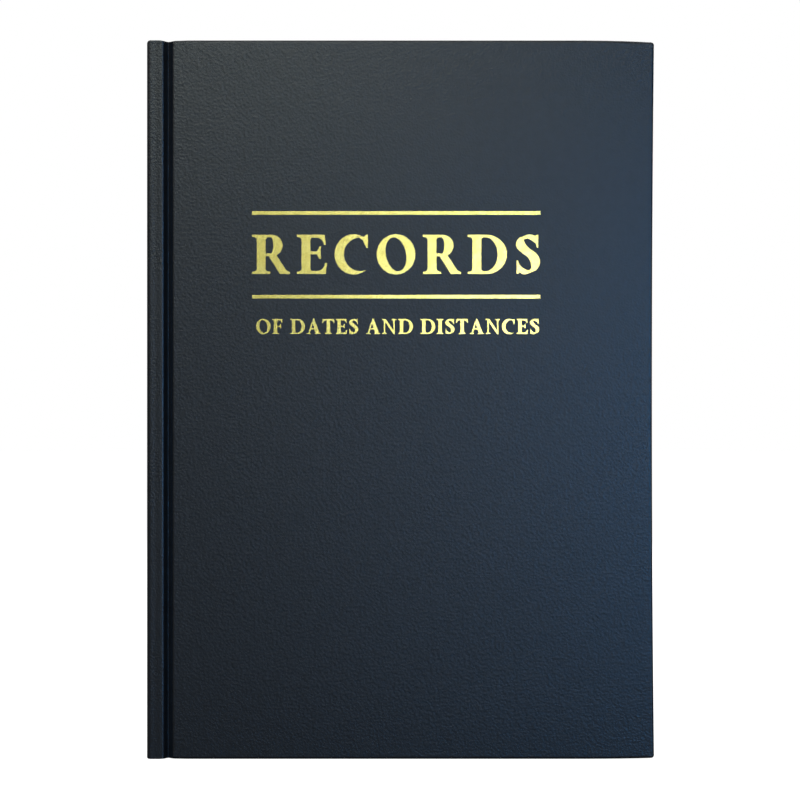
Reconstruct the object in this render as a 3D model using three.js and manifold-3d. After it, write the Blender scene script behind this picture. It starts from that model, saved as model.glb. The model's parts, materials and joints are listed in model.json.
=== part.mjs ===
// A case-bound hardback logbook, standing on its tail edges with its front cover towards -Y.
// Millimetres, +Z up. The origin is under the middle of the closed book, on the surface it stands on.
// X runs from the spine to the fore edge, Y through the book from front cover to back cover.
import * as THREE from 'three';
import { mergeVertices } from 'three/addons/utils/BufferGeometryUtils.js';
import Module from 'manifold-3d';

const manifoldLibrary = await Module();
manifoldLibrary.setup();

// Leaves and sections
const pageWidth = 207.5;
const pageHeight = 297;
const leafThickness = 0.12;
const leavesPerSection = 8;
const sectionCount = 9;
const turningSections = 2; // sections at each end of the block whose leaves turn with a cover
const endpaperThickness = 0.15;

// Case
const square = 3; // how far a board stands past the leaves at head, tail and fore edge
const boardThickness = 2.5;
const spineBoardThickness = 1.8;
const coveringThickness = 0.3;
const turnInWidth = 15;
const ridgeWidth = 7.6; // spine's rounded shoulder, from the spine face to the groove
const ridgeDrop = 0.2; // the shoulder lies this much below the cover's outer face
const grooveWidth = 2.7;
const grooveDepth = 2.3;
const spineCornerRadius = 2.2;

// Spine linings, sewing and endbands
const liningThickness = 0.15;
const gauzeThickness = 0.2;
const threadThickness = 0.25;
const threadHeight = 0.8;
const sewingStations = 4;
const gauzeMargin = 22; // bare fold left at head and tail
const liningMargin = 2;
const gauzeFlangeWidth = 26;
const endbandRadius = 0.8;
const endbandTongue = 8;

// Gold foil
const foilThickness = 0.06;
const foilGap = 0.02;
const ruleLength = 121.5;
const ruleHeight = 1.5;
const ruleLeft = 44.4; // from the spine face
const upperRuleBelowHead = 72.8;
const lowerRuleBelowHead = 108.1;
const titleBaselineBelowHead = 98.5;
const titleCapHeight = 16.5;

// Clearances
const airGap = 0.05; // between stacked sheets
const slipGap = 0.15; // between the spine's turn-in and the linings
const jointClearance = 0.3; // between pieces on either side of a hinge line

// Places that follow from the sizes, measured from the spine's outer face
const spineBoardStart = coveringThickness + airGap;
const spineBoardEnd = spineBoardStart + spineBoardThickness;
const spineTurnInEnd = spineBoardEnd + airGap + coveringThickness;
const liningStart = spineTurnInEnd + slipGap;
const gauzeStart = liningStart + liningThickness + airGap;
const threadStart = gauzeStart + gauzeThickness + airGap;
const blockStart = threadStart + threadThickness + airGap;
const blockEnd = blockStart + pageWidth;
const caseWidth = blockEnd + square;
const coverStart = ridgeWidth + grooveWidth + jointClearance;
const hingeX = ridgeWidth + grooveWidth / 2;
const foldEnd = hingeX - jointClearance / 2;
const leafStart = hingeX + jointClearance / 2;

// Heights
const caseHeight = pageHeight + 2 * square;
const blockBottom = square;
const blockTop = square + pageHeight;

// Depths, measured inwards from a cover's outer face
const boardDepth = coveringThickness + airGap;
const turnInDepth = boardDepth + boardThickness + airGap;
const pastedownDepth = turnInDepth + coveringThickness + airGap;
const flyleafDepth = pastedownDepth + endpaperThickness + airGap;
const firstSectionDepth = flyleafDepth + endpaperThickness + airGap;
const sectionThickness = leafThickness * leavesPerSection;
const sectionPitch = sectionThickness + airGap;
const blockThickness = sectionCount * sectionPitch - airGap;
const caseThickness = 2 * firstSectionDepth + blockThickness;

const front = -1;
const back = 1;

const materials = {
  covering: { color: 0x1f2a35, roughness: 0.45, metalness: 0 },
  board: { color: 0x9a958a, roughness: 0.9, metalness: 0 },
  paper: { color: 0xf1ecdf, roughness: 0.85, metalness: 0 },
  endpaper: { color: 0xf4f2ec, roughness: 0.8, metalness: 0 },
  kraft: { color: 0xb08a5a, roughness: 0.85, metalness: 0 },
  gauze: { color: 0xe6e1d3, roughness: 0.95, metalness: 0 },
  thread: { color: 0xece7da, roughness: 0.7, metalness: 0 },
  endband: { color: 0x2c4a78, roughness: 0.6, metalness: 0 },
  foil: { color: 0xd8b454, roughness: 0.25, metalness: 1 },
};

// Everything is drawn with X measured from the spine's outer face, and this group centres it.
const book = new THREE.Group();
book.position.set(-caseWidth / 2, 0, 0);

function addPiece(name, geometry, materialName) {
  const mesh = new THREE.Mesh(geometry, new THREE.MeshStandardMaterial(materials[materialName]));
  mesh.name = name;
  book.add(mesh);
  return mesh;
}

// Y of a plane at some depth under the front or the back cover's outer face.
function faceY(side, depth) {
  return side * (caseThickness / 2 - depth);
}

function boxGeometry(x0, x1, y0, y1, z0, z1) {
  const geometry = new THREE.BoxGeometry(x1 - x0, Math.abs(y1 - y0), z1 - z0);
  geometry.translate((x0 + x1) / 2, (y0 + y1) / 2, (z0 + z1) / 2);
  return geometry;
}

function sheetGeometry(side, x0, x1, depth, thickness, z0, z1) {
  return boxGeometry(x0, x1, faceY(side, depth), faceY(side, depth + thickness), z0, z1);
}

// A solid with one outline in plan, standing from z0 to z1.
function uprightGeometry(shape, z0, z1, curveSegments = 6) {
  const geometry = new THREE.ExtrudeGeometry(shape, { depth: z1 - z0, bevelEnabled: false, curveSegments });
  geometry.translate(0, 0, z0);
  return geometry;
}

function toSolid(geometry) {
  const bare = geometry.clone();
  bare.deleteAttribute('normal');
  bare.deleteAttribute('uv');
  const merged = mergeVertices(bare, 1e-4);
  return new manifoldLibrary.Manifold(
    new manifoldLibrary.Mesh({
      numProp: 3,
      vertProperties: new Float32Array(merged.attributes.position.array),
      triVerts: new Uint32Array(merged.index.array),
    }),
  );
}

function toGeometry(solid) {
  const mesh = solid.getMesh();
  const geometry = new THREE.BufferGeometry();
  geometry.setAttribute('position', new THREE.BufferAttribute(mesh.vertProperties, 3));
  geometry.setIndex(new THREE.BufferAttribute(mesh.triVerts, 1));
  return geometry;
}

// Covers: a board inside a wrapped covering, a gauze flange and a pastedown on the inner face
function addCover(side, prefix) {
  const outerShell = sheetGeometry(
    side, coverStart, caseWidth, 0, turnInDepth + coveringThickness, 0, caseHeight,
  );
  const boardPocket = sheetGeometry(
    side,
    coverStart + coveringThickness,
    caseWidth - coveringThickness,
    coveringThickness,
    turnInDepth - coveringThickness,
    coveringThickness,
    caseHeight - coveringThickness,
  );
  const window = sheetGeometry(
    side,
    coverStart + coveringThickness,
    caseWidth - turnInWidth,
    turnInDepth - airGap,
    coveringThickness + 2 * airGap,
    turnInWidth,
    caseHeight - turnInWidth,
  );
  const covering = toSolid(outerShell).subtract(toSolid(boardPocket)).subtract(toSolid(window));
  addPiece(`${prefix}_covering`, toGeometry(covering), 'covering');

  const boardInset = coveringThickness + airGap;
  addPiece(
    `${prefix}_board`,
    sheetGeometry(
      side,
      coverStart + boardInset,
      caseWidth - boardInset,
      boardDepth,
      boardThickness,
      boardInset,
      caseHeight - boardInset,
    ),
    'board',
  );
  const flangeStart = coverStart + boardInset;
  addPiece(
    `${prefix}_gauze_flange`,
    sheetGeometry(
      side,
      flangeStart,
      flangeStart + gauzeFlangeWidth,
      turnInDepth,
      gauzeThickness,
      blockBottom + gauzeMargin,
      blockTop - gauzeMargin,
    ),
    'gauze',
  );
  addPiece(
    `${prefix}_pastedown`,
    sheetGeometry(side, leafStart, blockEnd, pastedownDepth, endpaperThickness, blockBottom, blockTop),
    'endpaper',
  );
}

// Spine of the case: a covering folded round a board, turned in at head and tail
function addSpine() {
  const outer = caseThickness / 2 - ridgeDrop;
  const inner = outer - coveringThickness;
  const radius = spineCornerRadius;
  const innerRadius = radius - coveringThickness;
  const wrap = new THREE.Shape();
  wrap.moveTo(ridgeWidth, -outer);
  wrap.lineTo(ridgeWidth, -inner);
  wrap.lineTo(radius, -inner);
  wrap.absarc(radius, -outer + radius, innerRadius, -Math.PI / 2, -Math.PI, true);
  wrap.lineTo(coveringThickness, outer - radius);
  wrap.absarc(radius, outer - radius, innerRadius, Math.PI, Math.PI / 2, true);
  wrap.lineTo(ridgeWidth, inner);
  wrap.lineTo(ridgeWidth, outer);
  wrap.lineTo(radius, outer);
  wrap.absarc(radius, outer - radius, radius, Math.PI / 2, Math.PI, false);
  wrap.lineTo(0, -outer + radius);
  wrap.absarc(radius, -outer + radius, radius, Math.PI, 1.5 * Math.PI, false);
  let covering = toSolid(uprightGeometry(wrap, 0, caseHeight));

  const halfBoard = outer - radius;
  const lapStart = coveringThickness / 2;
  const turnInStart = spineTurnInEnd - coveringThickness;
  for (const [edge, inwards] of [[0, 1], [caseHeight, -1]]) {
    const capEnds = [edge, edge + inwards * coveringThickness];
    const flapEnds = [edge, edge + inwards * turnInWidth];
    const cap = boxGeometry(
      lapStart, spineTurnInEnd, -halfBoard, halfBoard, Math.min(...capEnds), Math.max(...capEnds),
    );
    const flap = boxGeometry(
      turnInStart, spineTurnInEnd, -halfBoard, halfBoard, Math.min(...flapEnds), Math.max(...flapEnds),
    );
    covering = covering.add(toSolid(cap)).add(toSolid(flap));
  }
  addPiece('spine_covering', toGeometry(covering), 'covering');

  const boardInset = coveringThickness + airGap;
  addPiece(
    'spine_board',
    boxGeometry(spineBoardStart, spineBoardEnd, -halfBoard, halfBoard, boardInset, caseHeight - boardInset),
    'board',
  );
}

// Joint strip: the covering pressed down into the groove between spine and cover
function addJointStrip(side, name) {
  const wallStart = ridgeWidth + airGap;
  const floorEnd = ridgeWidth + grooveWidth;
  const topY = faceY(side, ridgeDrop);
  const floorY = faceY(side, grooveDepth);
  const underY = faceY(side, grooveDepth + coveringThickness);
  const strip = new THREE.Shape();
  strip.moveTo(wallStart, topY);
  strip.lineTo(wallStart + coveringThickness, topY);
  strip.lineTo(wallStart + coveringThickness, floorY);
  strip.lineTo(floorEnd, floorY);
  strip.lineTo(floorEnd, underY);
  strip.lineTo(wallStart, underY);
  strip.closePath();
  addPiece(name, uprightGeometry(strip, 0, caseHeight), 'covering');
}

// Endpaper hinge: the folded part of an endpaper, between its pastedown and its flyleaf
function addEndpaperHinge(side, name) {
  const y = (depth) => faceY(side, depth);
  const hinge = new THREE.Shape();
  hinge.moveTo(blockStart, y(pastedownDepth));
  hinge.lineTo(foldEnd, y(pastedownDepth));
  hinge.lineTo(foldEnd, y(pastedownDepth + endpaperThickness));
  hinge.lineTo(blockStart + endpaperThickness, y(pastedownDepth + endpaperThickness));
  hinge.lineTo(blockStart + endpaperThickness, y(flyleafDepth));
  hinge.lineTo(foldEnd, y(flyleafDepth));
  hinge.lineTo(foldEnd, y(flyleafDepth + endpaperThickness));
  hinge.lineTo(blockStart, y(flyleafDepth + endpaperThickness));
  hinge.closePath();
  addPiece(name, uprightGeometry(hinge, blockBottom, blockTop), 'endpaper');
}

// Sections: leaves folded together, with the fold at the spine
function foldedOutline(x1, y0) {
  const radius = sectionThickness / 2;
  const outline = new THREE.Shape();
  outline.moveTo(x1, y0);
  outline.lineTo(x1, y0 + sectionThickness);
  outline.lineTo(blockStart + radius, y0 + sectionThickness);
  outline.absarc(blockStart + radius, y0 + radius, radius, Math.PI / 2, 1.5 * Math.PI, false);
  outline.closePath();
  return outline;
}

function addSections() {
  for (let index = 0; index < sectionCount; index += 1) {
    const name = `section_${index + 1}`;
    const y0 = faceY(front, firstSectionDepth) + index * sectionPitch;
    const turns = index < turningSections || index >= sectionCount - turningSections;
    const foldedEnd = turns ? foldEnd : blockEnd;
    const foldedName = turns ? `${name}_fold` : name;
    addPiece(foldedName, uprightGeometry(foldedOutline(foldedEnd, y0), blockBottom, blockTop), 'paper');
    if (turns) {
      const leaves = boxGeometry(leafStart, blockEnd, y0, y0 + sectionThickness, blockBottom, blockTop);
      addPiece(`${name}_leaves`, leaves, 'paper');
    }
  }
}

function addFlyleaf(side, name) {
  const sheet = sheetGeometry(
    side, leafStart, blockEnd, flyleafDepth, endpaperThickness, blockBottom, blockTop,
  );
  addPiece(name, sheet, 'endpaper');
}

// Spine linings, sewing and endbands
function addSpineLinings() {
  const half = blockThickness / 2;
  addPiece(
    'spine_lining',
    boxGeometry(
      liningStart, liningStart + liningThickness, -half, half,
      blockBottom + liningMargin, blockTop - liningMargin,
    ),
    'kraft',
  );
  addPiece(
    'spine_gauze',
    boxGeometry(
      gauzeStart, gauzeStart + gauzeThickness, -half, half, blockBottom + gauzeMargin, blockTop - gauzeMargin,
    ),
    'gauze',
  );
  const stationSpacing = pageHeight / (sewingStations + 1);
  for (let station = 1; station <= sewingStations; station += 1) {
    const z = blockBottom + station * stationSpacing;
    addPiece(
      `sewing_thread_${station}`,
      boxGeometry(
        threadStart, threadStart + threadThickness, -half, half, z - threadHeight / 2, z + threadHeight / 2,
      ),
      'thread',
    );
  }
}

// An endband is a cord across the end of the block, on a cloth tongue glued down the folds.
function addEndband(name, edge, outwards) {
  const centreX = blockStart + endbandRadius / 4;
  const centreZ = edge + outwards * (endbandRadius + airGap);
  const cord = new THREE.CylinderGeometry(endbandRadius, endbandRadius, blockThickness, 16);
  cord.translate(centreX, 0, centreZ);
  const tongueEnds = [centreZ, edge - outwards * endbandTongue];
  const tongue = boxGeometry(
    threadStart, threadStart + threadThickness, -blockThickness / 2, blockThickness / 2,
    Math.min(...tongueEnds), Math.max(...tongueEnds),
  );
  addPiece(name, toGeometry(toSolid(cord).add(toSolid(tongue))), 'endband');
}

// Foil letters, drawn as pen strokes with the cap height as the unit
const stem = 0.225;
const hairline = 0.075;
const serifHeight = 0.055;
const bracket = 0.09;
const serifReach = 0.12;
const roundOvershoot = 0.015;
const letterCurveSegments = 14;

function rectangle(x0, y0, x1, y1) {
  const shape = new THREE.Shape();
  shape.moveTo(x0, y0);
  shape.lineTo(x1, y0);
  shape.lineTo(x1, y1);
  shape.lineTo(x0, y1);
  shape.closePath();
  return shape;
}

function polygon(points) {
  const shape = new THREE.Shape();
  points.forEach(([x, y], index) => (index ? shape.lineTo(x, y) : shape.moveTo(x, y)));
  shape.closePath();
  return shape;
}

function serif(left, right, level, direction) {
  const shape = new THREE.Shape();
  const slab = level + direction * serifHeight;
  const top = level + direction * (serifHeight + bracket);
  shape.moveTo(left - serifReach, level);
  shape.lineTo(right + serifReach, level);
  shape.lineTo(right + serifReach, slab);
  shape.quadraticCurveTo(right, slab, right, top);
  shape.lineTo(left, top);
  shape.quadraticCurveTo(left, slab, left - serifReach, slab);
  shape.closePath();
  return shape;
}

// An upright stem from x to x + stem, with a serif at its head and foot
function upright(x) {
  return [rectangle(x, 0, x + stem, 1), serif(x, x + stem, 0, 1), serif(x, x + stem, 1, -1)];
}

// A hairline arm that ends in a wedge serif
function arm(x0, x1, level, direction, drop) {
  const shape = new THREE.Shape();
  const under = level + direction * hairline;
  shape.moveTo(x0, level);
  shape.lineTo(x1, level);
  shape.lineTo(x1 + 0.03, level + direction * drop);
  shape.lineTo(x1 - 0.015, level + direction * drop);
  shape.quadraticCurveTo(x1 - 0.05, under, x1 - 0.24, under);
  shape.lineTo(x0, under);
  shape.closePath();
  return shape;
}

// A bowl that leaves the stem at y0 and comes back to it at y1
function bowl(x0, reach, y0, y1) {
  const middle = (y0 + y1) / 2;
  const half = (y1 - y0) / 2;
  const centre = reach - Math.min(half * 1.05, reach - x0 - stem);
  const outer = new THREE.Shape();
  outer.moveTo(x0 + stem / 2, y0);
  outer.lineTo(centre, y0);
  outer.absellipse(centre, middle, reach - centre, half, -Math.PI / 2, Math.PI / 2, false, 0);
  outer.lineTo(x0 + stem / 2, y1);
  outer.closePath();
  const hole = new THREE.Path();
  const thin = hairline * 0.9;
  hole.moveTo(x0 + stem, y0 + thin);
  hole.lineTo(x0 + stem, y1 - thin);
  hole.lineTo(centre - 0.02, y1 - thin);
  hole.absellipse(
    centre - 0.02, middle, reach - centre + 0.02 - stem * 1.05, half - thin,
    Math.PI / 2, -Math.PI / 2, true, 0,
  );
  hole.closePath();
  outer.holes.push(hole);
  return outer;
}

function ring(centreX, radiusX) {
  const shape = new THREE.Shape();
  const radiusY = 0.5 + roundOvershoot;
  const lean = 0.2;
  shape.absellipse(centreX, 0.5, radiusX, radiusY, 0, 2 * Math.PI, false, 0);
  const hole = new THREE.Path();
  hole.absellipse(centreX, 0.5, radiusX - stem * 1.05, radiusY - hairline, 0, 2 * Math.PI, true, lean);
  shape.holes.push(hole);
  return shape;
}

// A crescent, open to the right, with its thick side on the left
function crescent(centreX, radiusX) {
  const outer = new THREE.Shape();
  outer.absellipse(centreX, 0.5, radiusX, 0.5 + roundOvershoot, 0, 2 * Math.PI, false, 0);
  const opening = new THREE.Shape();
  const openingRadius = radiusX * 0.86;
  opening.absellipse(stem * 1.05 + openingRadius, 0.5, openingRadius, 0.43, 0, 2 * Math.PI, false, 0);
  return { outer, opening };
}

// A stroke of a broad pen along a curve, thick where it runs down, thin where it runs across and at its ends
function penStroke(points, steps) {
  const curve = new THREE.CatmullRomCurve3(points.map(([x, y]) => new THREE.Vector3(x, y, 0)));
  const nibAngle = 0.35;
  const taper = 6;
  const left = [];
  const right = [];
  for (let step = 0; step <= steps; step += 1) {
    const share = step / steps;
    const point = curve.getPoint(share);
    const direction = curve.getTangent(share);
    const slope = Math.atan2(direction.y, direction.x);
    const fullness = Math.min(1, taper * share, taper * (1 - share));
    const swell = (stem * 1.08 - hairline) * Math.abs(Math.sin(slope - nibAngle)) ** 1.6 * fullness;
    const half = (hairline + swell) / 2;
    left.push([point.x - direction.y * half, point.y + direction.x * half]);
    right.unshift([point.x + direction.y * half, point.y - direction.x * half]);
  }
  return polygon([...left, ...right]);
}

const letterForms = {
  R: () => ({
    width: 0.95,
    strokes: [
      ...upright(serifReach),
      bowl(serifReach, 0.78, 0.45, 1),
      polygon([[0.38, 0.53], [0.61, 0.5], [0.88, 0.08], [0.97, 0.045], [0.97, 0], [0.71, 0]]),
    ],
  }),
  E: () => ({
    width: 0.77,
    strokes: [
      ...upright(serifReach),
      arm(0.3, 0.71, 1, -1, 0.26),
      arm(0.3, 0.74, 0, 1, 0.28),
      rectangle(0.3, 0.5, 0.56, 0.5 + hairline),
      polygon([[0.5, 0.5 + hairline / 2], [0.58, 0.38], [0.61, 0.38], [0.61, 0.7], [0.58, 0.7]]),
    ],
  }),
  C: () => {
    const { outer, opening } = crescent(0.49, 0.49);
    return {
      width: 0.88,
      strokes: [outer],
      cuts: [opening],
      keep: [
        polygon([
          [0.6, 0.955], [0.72, 0.86], [0.815, 0.66], [0.85, 0.66], [0.85, 1], [0.82, 1], [0.75, 0.95],
        ]),
      ],
    };
  },
  O: () => ({ width: 0.99, strokes: [ring(0.495, 0.495)] }),
  D: () => ({
    width: 1,
    strokes: [...upright(serifReach), bowl(serifReach, 1, 0, 1)],
  }),
  S: () => ({
    width: 0.66,
    strokes: [
      penStroke(
        [
          [0.57, 0.8], [0.49, 0.91], [0.34, 0.95], [0.19, 0.89], [0.16, 0.74], [0.28, 0.6],
          [0.45, 0.47], [0.53, 0.32], [0.49, 0.14], [0.33, 0.05], [0.18, 0.09], [0.09, 0.22],
        ],
        44,
      ),
      polygon([[0.53, 0.82], [0.575, 0.67], [0.605, 0.67], [0.605, 1], [0.575, 1], [0.49, 0.93]]),
      polygon([[0.14, 0.2], [0.085, 0.34], [0.055, 0.34], [0.055, 0], [0.085, 0], [0.17, 0.07]]),
    ],
  }),
};

function foilSolid(shape, scale) {
  const geometry = new THREE.ExtrudeGeometry(shape, {
    depth: foilThickness / scale,
    bevelEnabled: false,
    curveSegments: letterCurveSegments,
  });
  geometry.scale(scale, scale, scale);
  return toSolid(geometry);
}

function letterSolid(form, scale) {
  let solid = foilSolid(form.strokes[0], scale);
  for (const stroke of form.strokes.slice(1)) {
    solid = solid.add(foilSolid(stroke, scale));
  }
  for (const cut of form.cuts ?? []) {
    solid = solid.subtract(foilSolid(cut, scale));
  }
  for (const keep of form.keep ?? []) {
    solid = solid.add(foilSolid(keep, scale));
  }
  return solid;
}

// The letters spread over the length of the rules, with the same gap between each pair.
function addTitle(word) {
  const forms = [...word].map((letter) => letterForms[letter]());
  const lettersWidth = forms.reduce((sum, form) => sum + form.width * titleCapHeight, 0);
  const gap = (ruleLength - lettersWidth) / (forms.length - 1);
  const outerY = faceY(front, 0) - foilGap;
  const counts = {};
  let x = ruleLeft;
  forms.forEach((form, index) => {
    const letter = word[index].toLowerCase();
    counts[letter] = (counts[letter] ?? 0) + 1;
    const solid = letterSolid(form, titleCapHeight);
    const name = counts[letter] > 1 ? `title_letter_${letter}_${counts[letter]}` : `title_letter_${letter}`;
    const mesh = addPiece(name, toGeometry(solid), 'foil');
    mesh.position.set(x, outerY, caseHeight - titleBaselineBelowHead);
    mesh.rotation.x = Math.PI / 2;
    x += form.width * titleCapHeight + gap;
  });
}

function addRule(name, belowHead) {
  const z = caseHeight - belowHead;
  const outerY = faceY(front, 0) - foilGap;
  addPiece(
    name,
    boxGeometry(
      ruleLeft, ruleLeft + ruleLength, outerY - foilThickness, outerY, z - ruleHeight / 2, z + ruleHeight / 2,
    ),
    'foil',
  );
}

addSpine();
addJointStrip(front, 'front_joint_strip');
addJointStrip(back, 'back_joint_strip');
addSpineLinings();
addEndband('headband', blockTop, 1);
addEndband('tailband', blockBottom, -1);
addEndpaperHinge(front, 'front_endpaper_hinge');
addEndpaperHinge(back, 'back_endpaper_hinge');
addSections();
addFlyleaf(front, 'front_flyleaf');
addFlyleaf(back, 'back_flyleaf');
addCover(front, 'front');
addCover(back, 'back');
addRule('title_rule_upper', upperRuleBelowHead);
addRule('title_rule_lower', lowerRuleBelowHead);
addTitle('RECORDS');

export default book;
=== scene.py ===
import json
import math

import bmesh
import bpy
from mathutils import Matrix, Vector
from mathutils.geometry import tessellate_polygon


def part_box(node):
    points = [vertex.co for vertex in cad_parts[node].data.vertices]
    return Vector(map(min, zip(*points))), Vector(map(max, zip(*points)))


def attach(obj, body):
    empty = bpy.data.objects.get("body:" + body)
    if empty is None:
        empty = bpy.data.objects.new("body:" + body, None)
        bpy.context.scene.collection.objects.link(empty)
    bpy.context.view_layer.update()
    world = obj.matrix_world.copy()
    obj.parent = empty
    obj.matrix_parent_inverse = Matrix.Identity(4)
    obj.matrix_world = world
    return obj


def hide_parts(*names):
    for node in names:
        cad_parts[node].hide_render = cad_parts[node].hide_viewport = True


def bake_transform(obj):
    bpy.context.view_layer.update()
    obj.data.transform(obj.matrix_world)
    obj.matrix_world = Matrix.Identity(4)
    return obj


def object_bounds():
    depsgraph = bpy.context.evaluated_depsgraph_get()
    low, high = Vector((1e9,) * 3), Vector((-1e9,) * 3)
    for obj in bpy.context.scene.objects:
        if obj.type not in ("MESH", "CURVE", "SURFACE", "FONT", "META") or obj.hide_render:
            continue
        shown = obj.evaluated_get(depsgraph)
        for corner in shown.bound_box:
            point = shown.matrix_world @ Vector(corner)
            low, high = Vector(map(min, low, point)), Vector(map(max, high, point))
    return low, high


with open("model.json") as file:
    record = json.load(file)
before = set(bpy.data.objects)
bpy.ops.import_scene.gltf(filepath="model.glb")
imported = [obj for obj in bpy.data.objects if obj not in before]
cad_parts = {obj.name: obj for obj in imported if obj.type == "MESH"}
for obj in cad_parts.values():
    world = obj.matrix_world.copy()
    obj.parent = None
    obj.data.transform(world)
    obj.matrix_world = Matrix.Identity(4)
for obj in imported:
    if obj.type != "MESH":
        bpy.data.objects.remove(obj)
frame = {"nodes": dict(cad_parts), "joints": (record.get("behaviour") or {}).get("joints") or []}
cadLow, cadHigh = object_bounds()
scene = bpy.context.scene

mm = 0.001
middleZ = (cadLow.z + cadHigh.z) / 2
front, back = -1, 1  # which cover a piece belongs to, as the sign of its Y


def hexColour(code, alpha=1.0):
    channels = [int(code[i:i + 2], 16) / 255 for i in (1, 3, 5)]
    linear = [c / 12.92 if c <= 0.04045 else ((c + 0.055) / 1.055) ** 2.4 for c in channels]
    return (*linear, alpha)


# adds a node, sets its properties and fills its inputs: a socket is linked, anything else is a value
def addNode(tree, kind, settings=None, inputs=None):
    node = tree.nodes.new(kind)
    for key, value in (settings or {}).items():
        setattr(node, key, value)
    for key, value in (inputs or {}).items():
        if isinstance(value, bpy.types.NodeSocket):
            tree.links.new(value, node.inputs[key])
        else:
            node.inputs[key].default_value = value
    return node


def newMaterial(name):
    material = bpy.data.materials.new(name)
    material.use_nodes = True
    tree = material.node_tree
    tree.nodes.clear()
    surface = addNode(tree, "ShaderNodeBsdfPrincipled")
    addNode(tree, "ShaderNodeOutputMaterial", inputs={"Surface": surface.outputs["BSDF"]})
    place = addNode(tree, "ShaderNodeTexCoord")
    return material, tree, surface, place.outputs["Object"]


def newObject(name, vertices, faces, material):
    mesh = bpy.data.meshes.new(name)
    mesh.from_pydata([tuple(v) for v in vertices], [], faces)
    mesh.update()
    mesh.materials.append(material)
    piece = bpy.data.objects.new(name, mesh)
    scene.collection.objects.link(piece)
    return piece


# applies every modifier, and leaves a plain mesh
def bake(piece):
    evaluated = piece.evaluated_get(bpy.context.evaluated_depsgraph_get())
    mesh = bpy.data.meshes.new_from_object(evaluated)
    piece.modifiers.clear()
    piece.data = mesh
    return piece


def cutOrJoin(piece, other, operation):
    step = piece.modifiers.new(operation.lower(), "BOOLEAN")
    step.object = other
    step.operation = operation
    step.solver = "EXACT"
    bake(piece)
    bpy.data.objects.remove(other)
    return piece


def boxObject(name, low, high, material):
    x0, y0, z0 = low
    x1, y1, z1 = high
    corners = [(x, y, z) for z in (z0, z1) for y in (y0, y1) for x in (x0, x1)]
    faces = [(0, 2, 3, 1), (4, 5, 7, 6), (0, 1, 5, 4), (2, 6, 7, 3), (0, 4, 6, 2), (1, 3, 7, 5)]
    return newObject(name, corners, faces, material)


# a sheet seen from above, out along one face and back along the other with as many points, raised from z0 to z1
def uprightObject(name, outline, z0, z1, material, levels=1):
    count = len(outline)
    vertices = []
    for level in range(levels + 1):
        z = z0 + (z1 - z0) * level / levels
        vertices += [(x, y, z) for x, y in outline]
    faces = []
    for level in range(levels):
        base = level * count
        for i in range(count):
            j = (i + 1) % count
            faces.append((base + i, base + j, base + count + j, base + count + i))
    top = levels * count
    for i in range(count // 2 - 1):  # the ends go across the sheet in steps, so that they bend with it
        rung = (i, i + 1, count - 2 - i, count - 1 - i)
        faces.append(rung[::-1])
        faces.append(tuple(top + k for k in rung))
    piece = newObject(name, vertices, faces, material)
    faceOutwards(piece)
    return piece


def faceOutwards(piece):
    work = bmesh.new()
    work.from_mesh(piece.data)
    bmesh.ops.remove_doubles(work, verts=work.verts, dist=1e-7)
    bmesh.ops.recalc_face_normals(work, faces=work.faces)
    work.to_mesh(piece.data)
    work.free()


def smoothByAngle(piece, degrees=40):
    piece.data.shade_smooth()
    piece.data.set_sharp_from_angle(angle=math.radians(degrees))


def finishPiece(piece, body, slot, *nodes):
    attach(piece, body)
    if nodes:
        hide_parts(*nodes)


def dress(node, material):
    piece = frame["nodes"][node]
    piece.data.materials.clear()
    piece.data.materials.append(material)


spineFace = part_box("spine_covering")[0].x
pageLow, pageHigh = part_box("section_3")
hinge = {j["name"]: Vector(j["pos_m"]) for j in frame["joints"]}
hingeX = hinge["front_cover_hinge"].x
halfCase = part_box("back_covering")[1].y


def depthY(side, depth):
    return side * (halfCase - depth)


# a long lens, level and square on to the front cover
def buildCamera():
    view = {"distance": 1.35, "seenHeight": 0.3372, "left": 0.2 * mm, "down": 0.15 * mm}
    camera = bpy.data.cameras.new("camera")
    camera.sensor_width = 36
    camera.lens = camera.sensor_width * view["distance"] / view["seenHeight"]
    camera.clip_end = 30
    holder = bpy.data.objects.new("camera", camera)
    scene.collection.objects.link(holder)
    holder.location = (-view["left"], -halfCase - view["distance"], middleZ - view["down"])
    holder.rotation_euler = (math.pi / 2, 0, 0)
    scene.camera = holder


def buildLights():
    # a big soft light up on the left, lights above and behind, a fill that leaves no sheen, and three cards round
    # the lens that give only sheen: one above it, one that the foil mirrors, and a cool one on the right
    lights = [
        ("keyLight", (-1.15, -1.1, 1.0), 0.9, 9, "#fffaf2"),
        ("topLight", (0.1, 0.1, 1.7), 1.2, 12, "#ffffff"),
        ("backLight", (0.6, 1.6, 0.9), 1.2, 22, "#ffffff"),
        ("frontFill", (0.3, -1.7, 1.1), 1.2, 16, "#ffffff"),
        ("sheenCard", (-0.14, -1.5, 0.7), 0.3, 4.3, "#f4fff6"),
        ("foilCard", (0.12, -1.42, 0.2), 0.18, 0.9, "#e4f0ff"),
        ("coolCard", (0.5, -1.35, 0.16), 0.3, 5.6, "#58b0ff"),
    ]
    for name, place, size, power, tint in lights:
        lamp = bpy.data.lights.new(name, "AREA")
        lamp.size = size
        lamp.energy = power
        lamp.color = hexColour(tint)[:3]
        lampObject = bpy.data.objects.new(name, lamp)
        scene.collection.objects.link(lampObject)
        lampObject.location = place
        lampObject.visible_diffuse = not name.endswith("Card")
        lampObject.visible_glossy = name != "frontFill"
        towards = Vector((0, 0, middleZ)) - lampObject.location
        lampObject.rotation_euler = towards.to_track_quat("-Z", "Y").to_euler()


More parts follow.
